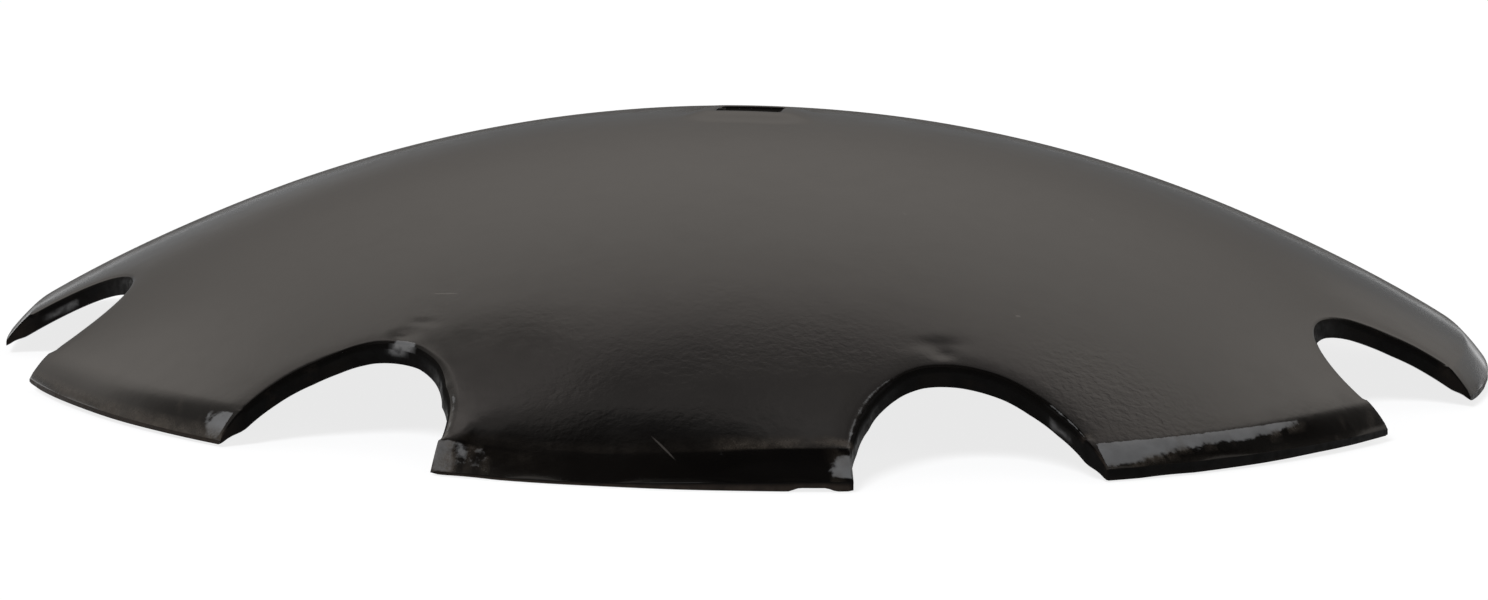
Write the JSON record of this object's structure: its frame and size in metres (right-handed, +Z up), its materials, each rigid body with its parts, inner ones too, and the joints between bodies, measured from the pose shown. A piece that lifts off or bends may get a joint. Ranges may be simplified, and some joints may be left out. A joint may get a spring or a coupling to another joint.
{
  "type": "harrow disc blade",
  "caption": "Notched concave harrow disc blade of black-painted steel, with a ground cutting bevel and a square axle hole with a raised lip.",
  "frame": {"origin": "centre of the cutting circle, in the plane that the teeth rest on", "axes": "+Z up along the axle, from the hollow side to the rounded side; one tooth is centred on -Y, and two sides of the square hole run along X"},
  "size_m": [0.6099, 0.6098, 0.1018],
  "materials": {
    "black_paint": "gloss"
  },
  "bodies": {
    "root": {"disc_blade": "black_paint"}
  },
  "joints": []
}
